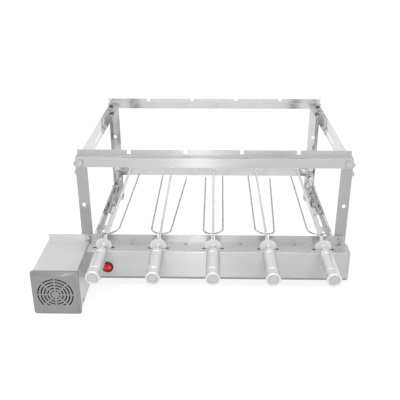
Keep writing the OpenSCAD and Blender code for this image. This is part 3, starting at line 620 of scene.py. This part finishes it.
class SKEWERGRILL_OT_fasteners(GrillPiece, bpy.types.Operator):
    """Hex bolts, nuts, wing nuts and pan-head screws"""

    bl_idname = "skewer_grill.fasteners"
    bl_label = "Fasteners"

    recess = (3.6 * MM, 0.8 * MM, 2 * MM)   # each arm of a cross recess: length, width, and twice its depth
    least_top = 20 * MM * MM                # the area over which a round face is the top of a head

    def execute(self, context):
        for node in ("front_bolts", "front_nuts", "rear_bolts", "rear_nuts", "wing_nuts"):
            rounded_part(node, width=0.45 * MM)
        screws = rounded_part("case_screws", width=0.9 * MM, segments=4)
        tops = [face for face in screws.data.polygons
                if len(face.vertices) > 16 and face.area > self.least_top]
        bpy.ops.object.select_all(action="DESELECT")
        for face in tops:
            turn = face.normal.to_track_quat("Z", "Y")
            for spin in (0, pi / 2):
                bpy.ops.mesh.primitive_cube_add(size=1, location=face.center,
                                                rotation=(turn @ Quaternion((0, 0, 1), spin)).to_euler())
                context.object.scale = self.recess
                context.object.name = "recess_cutter"
        cutters = [piece for piece in bpy.data.objects if piece.name.startswith("recess_cutter")]
        select_only(cutters[0])
        for piece in cutters:
            piece.select_set(True)
        bpy.ops.object.join()
        cutter = context.object
        bpy.ops.object.transform_apply(location=True, rotation=True, scale=True)
        apply_modifier(screws, "BOOLEAN", object=cutter, operation="DIFFERENCE", solver="EXACT", use_self=True)
        bpy.data.objects.remove(cutter)
        return {"FINISHED"}


class SKEWERGRILL_OT_grips(GrillPiece, bpy.types.Operator):
    """Turned grips with ring grooves, and a disc set into the front cap's dish, in a darker grey that paints the
    shade in the dish
    """

    bl_idname = "skewer_grill.grips"
    bl_label = "Grips"

    # All in millimetres, along the grip and out from its middle
    collar = 0.9                                          # how far the front cap stands out over the body
    rear_groove, front_groove = 15, 24                    # from the rear end, and from the front end
    groove = ((0, 0), (0.5, -0.5), (1.2, -0.5), (1.7, 0))

    def execute(self, context):
        for k in SKEWERS:
            node = f"skewer_{k}_grip"
            low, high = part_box(node)
            centre = (low + high) / 2
            cap, length = (high.x - low.x) / 2 / MM, (high.y - low.y) / MM
            grip = turned_piece([(high.y - along * MM, radius * MM) for along, radius in self.outline(cap, length)],
                                centre.x, centre.z)
            hand_over(grip, f"skewer_{k}_turned_grip", finish("grip_aluminium"), node)
            # The disc's darker finish paints the shade in the cap's dish
            disc = turned_piece([(low.y - along * MM, radius * MM) for along, radius in self.face(cap)],
                                centre.x, centre.z)
            hand_over(disc, f"skewer_{k}_grip_face", finish("grip_face_shade"), node, slot="grip_aluminium")
        return {"FINISHED"}

    def outline(self, cap, length):
        """From the rear end's middle, over the body and its two grooves, round the cap and into its dish."""
        body = cap - self.collar
        rear = [(0, 3), (0, body - 2.6), (0.4, body - 1.3), (1.3, body - 0.4), (2.6, body)]
        grooves = [(start + along, body + deep) for start in (self.rear_groove, length - self.front_groove)
                   for along, deep in self.groove]
        front = [(length - back, cap - inset) for back, inset in (
            (5.5, 0), (2.6, 0), (1.2, 0.5), (0.3, 1.6), (0, 2.9), (0.4, 4.1), (1.5, 4.8))]
        return [*rear, *grooves, (length - 7, body), *front, (length - 1.5, 3), (length - 1.5, 0.1)]

    def face(self, cap):
        """The disc set into the dish, from its back to its front's middle, counted from the front end."""
        return [(-1.6, 2), (-1.6, cap - 5.2), (-1.2, cap - 4.9), (-0.9, cap - 5.1), (-1.1, cap - 5.6),
                (-1.1, 1.5), (-1.3, 0.1)]


class SKEWERGRILL_OT_gears(GrillPiece, bpy.types.Operator):
    """Toothed wheels of the skewers"""

    bl_idname = "skewer_grill.gears"
    bl_label = "Gears"

    def execute(self, context):
        for k in SKEWERS:
            rounded_part(f"skewer_{k}_gear", width=0.15 * MM, segments=1)
        return {"FINISHED"}


# The forks' shape, as in part.scad. Angles are in degrees
FORK_RADIUS = 22.5 * MM                                     # of the half-round base
TINE_LEANS = ((0, 1.5), (0, 4), (0, 0.5), (0, 3), (0, 0))   # outwards, of each fork's left and right tine
FORK_TURNS = (-12, 5, -4, 7.5, 7)                           # of each fork about its rod
ROD_TO_WIRE = 4.6 * MM
WELD_RADIUS = 2.6 * MM
BEND_STEPS = 24
TWIST_STEPS = 16                                            # of the wire's mesh to one whole turn
# The weld bead from end to end, in millimetres: place along it and radius, with its ripples
WELD_BEAD = ((4.2, 1.2), (3.9, 2.1), (3.1, 2.5), (2.3, 2.25), (1.5, 2.6), (0.7, 2.3), (-0.2, 2.6),
             (-1, 2.3), (-1.8, 2.6), (-2.6, 2.3), (-3.3, 2.5), (-4, 2), (-4.2, 1.1))


def fork_route(leans, tine):
    """The middle line of a fork's wire in its own plane, from tip to tip. Tine is a tine's depth along Y."""
    left, right = (radians(90 - lean) for lean in leans)
    bend = [-left + (left + right) * i / BEND_STEPS for i in range(BEND_STEPS + 1)]
    route = [(-FORK_RADIUS * sin(left) - tine / sin(left) * cos(left), tine)]
    route += [(FORK_RADIUS * sin(angle), -FORK_RADIUS * cos(angle)) for angle in bend]
    return route + [(FORK_RADIUS * sin(right) + tine / sin(right) * cos(right), tine)]


class SKEWERGRILL_OT_forks(GrillPiece, bpy.types.Operator):
    """Two-tined forks, each bent from one length of twisted square wire and welded under its rod"""

    bl_idname = "skewer_grill.forks"
    bl_label = "Forks"

    def execute(self, context):
        for k in SKEWERS:
            node, rod = f"skewer_{k}_fork", f"skewer_{k}_rod"
            axis = (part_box(rod)[0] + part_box(rod)[1]) / 2
            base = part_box(node)[0].y + WELD_RADIUS + FORK_RADIUS
            route = fork_route(TINE_LEANS[k - 1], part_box(node)[1].y - base)
            length = sum((Vector(a) - Vector(b)).length for a, b in zip(route, route[1:]))
            wire = twisted_bar(sizes().wire_side, length, sizes().wire_lay, TWIST_STEPS)
            bpy.ops.object.select_all(action="DESELECT")
            bpy.ops.curve.primitive_nurbs_path_add()
            guide = context.object
            line = guide.data.splines.new("POLY")
            line.points.add(len(route) - 1)
            for point, (x, y) in zip(line.points, route):
                point.co = (x, y, 0, 1)
            guide.data.splines.remove(guide.data.splines[0])
            apply_modifier(wire, "CURVE", object=guide, deform_axis="POS_X")
            bpy.data.objects.remove(guide)
            bead = turned_piece([(along * MM, radius * MM) for along, radius in WELD_BEAD], 0, 0, steps=20)
            bead.rotation_euler = (0, 0, pi / 2)
            bead.location = (0, -FORK_RADIUS, 0)
            turn = (Matrix.Translation((axis.x, base, axis.z)) @ Matrix.Rotation(radians(FORK_TURNS[k - 1]), 4, "Y")
                    @ Matrix.Translation((0, 0, -ROD_TO_WIRE)))
            for piece, name in ((wire, "bent_fork"), (bead, "fork_weld")):
                piece.matrix_world = turn @ piece.matrix_basis
                hand_over(piece, f"skewer_{k}_{name}", finish("stainless_rod"), node)
        return {"FINISHED"}


# ---- Stage ----

class SKEWERGRILL_OT_stage(GrillPiece, bpy.types.Operator):
    """White floor and surroundings, soft lamps, and the camera at the photograph's place"""

    bl_idname = "skewer_grill.stage"
    bl_label = "Stage"

    def execute(self, context):
        self.make_floor()
        self.make_world(context.scene)
        self.make_lamps()
        turn = (Matrix.Rotation(radians(CAMERA_YAW), 3, "Z") @ Matrix.Rotation(radians(90 - CAMERA_PITCH), 3, "X")
                @ Matrix.Rotation(-radians(CAMERA_ROLL), 3, "Z"))
        bpy.ops.object.camera_add(location=CAMERA_PLACE, rotation=turn.to_euler())
        context.scene.camera = context.object
        context.object.data.lens = CAMERA_LENS
        context.scene.view_settings.view_transform = "Standard"
        return {"FINISHED"}

    @staticmethod
    def seen_or_reflected(material):
        """One where the camera sees a surface, straight or in metal or through glass, and else nought."""
        path = add_node(material, "ShaderNodeLightPath")
        seen = path.outputs["Is Camera Ray"]
        for other in ("Is Glossy Ray", "Is Transmission Ray"):
            seen = add_node(material, "ShaderNodeMath", {0: seen, 1: path.outputs[other]},
                            operation="MAXIMUM").outputs["Value"]
        return seen

    def make_floor(self):
        """A floor that looks white, and keeps a faint shadow."""
        bpy.ops.object.select_all(action="DESELECT")
        bpy.ops.mesh.primitive_plane_add(size=12, location=(0, 0, -0.1 * MM))
        floor = bpy.context.object
        floor.name = "studio_floor"
        material = bpy.data.materials.new("white_paper")
        material.use_nodes = True
        material.node_tree.nodes.clear()
        paper = add_node(material, "ShaderNodeBsdfDiffuse", {"Color": (0.3, 0.3, 0.3, 1)})
        glow = add_node(material, "ShaderNodeEmission", {"Color": (1, 1, 1, 1), "Strength": 0.8})
        seen = add_node(material, "ShaderNodeAddShader", {0: paper.outputs[0], 1: glow.outputs[0]})
        white = add_node(material, "ShaderNodeMixShader", {0: self.seen_or_reflected(material), 1: paper.outputs[0],
                                                           2: seen.outputs[0]})
        add_node(material, "ShaderNodeOutputMaterial", {"Surface": white.outputs[0]})
        floor.data.materials.append(material)

    def make_world(self, scene):
        """White to the camera and in reflections, and a plain soft light on the object."""
        world = bpy.data.worlds.new("studio")
        scene.world = world
        world.use_nodes = True
        world.node_tree.nodes.clear()
        fill = add_node(world, "ShaderNodeBackground", {"Color": (1, 1, 1, 1), "Strength": 0.8})
        white = add_node(world, "ShaderNodeBackground", {"Color": (1, 1, 1, 1), "Strength": 1.0})
        mixed = add_node(world, "ShaderNodeMixShader", {0: self.seen_or_reflected(world), 1: fill.outputs[0],
                                                        2: white.outputs[0]})
        add_node(world, "ShaderNodeOutputWorld", {"Surface": mixed.outputs[0]})

    def make_lamps(self):
        """A tall, narrow lamp in front, whose streak crosses the brushed bars, and a wide one above that lights
        the folds."""
        for name, place, aim, width, height, watts in (
                ("front_lamp", (-0.065, -2.6, 1.05), (-0.065, 0.0, 1.05), 0.13, 2.0, 5),
                ("top_lamp", (-0.35, -1.7, 2.35), (-0.2, -0.3, 0.1), 2.8, 0.45, 28),
        ):
            bpy.ops.object.light_add(type="AREA", location=place)
            lamp = bpy.context.object
            lamp.name = name
            lamp.data.shape = "RECTANGLE"
            lamp.data.size, lamp.data.size_y = width, height
            lamp.data.energy = watts
            lamp.rotation_euler = (Vector(aim) - Vector(place)).to_track_quat("-Z", "Y").to_euler()


class SKEWERGRILL_PT_panel(bpy.types.Panel):
    """Lists the grill's sizes, colours and pieces"""

    bl_idname = "SKEWERGRILL_PT_panel"
    bl_label = "Skewer Grill"
    bl_space_type = "VIEW_3D"
    bl_region_type = "UI"
    bl_category = "Skewer Grill"

    def draw(self, context):
        for group in (sizes(), colours()):
            box = self.layout.box()
            for key in group.bl_rna.properties.keys():
                if key not in ("rna_type", "name"):
                    box.prop(group, key)
        for operator in OPERATORS:
            self.layout.operator(operator.bl_idname)


OPERATORS = (
    SKEWERGRILL_OT_stage, SKEWERGRILL_OT_finishes, SKEWERGRILL_OT_bars, SKEWERGRILL_OT_rails, SKEWERGRILL_OT_legs,
    SKEWERGRILL_OT_motor_box, SKEWERGRILL_OT_machinery, SKEWERGRILL_OT_power_switch,
    SKEWERGRILL_OT_fasteners, SKEWERGRILL_OT_grips, SKEWERGRILL_OT_gears, SKEWERGRILL_OT_forks,
)
CLASSES = (SkewerGrillSizes, SkewerGrillColours, *OPERATORS, SKEWERGRILL_PT_panel)


def register():
    for cls in CLASSES:
        bpy.utils.register_class(cls)
    bpy.types.Scene.skewer_grill_sizes = bpy.props.PointerProperty(type=SkewerGrillSizes)
    bpy.types.Scene.skewer_grill_colours = bpy.props.PointerProperty(type=SkewerGrillColours)


def unregister():
    del bpy.types.Scene.skewer_grill_colours
    del bpy.types.Scene.skewer_grill_sizes
    for cls in reversed(CLASSES):
        bpy.utils.unregister_class(cls)


def main():
    """Builds the whole grill."""
    register()
    for operator in OPERATORS:
        group, name = operator.bl_idname.split(".")
        getattr(getattr(bpy.ops, group), name)()


if __name__ == "__main__":
    main()
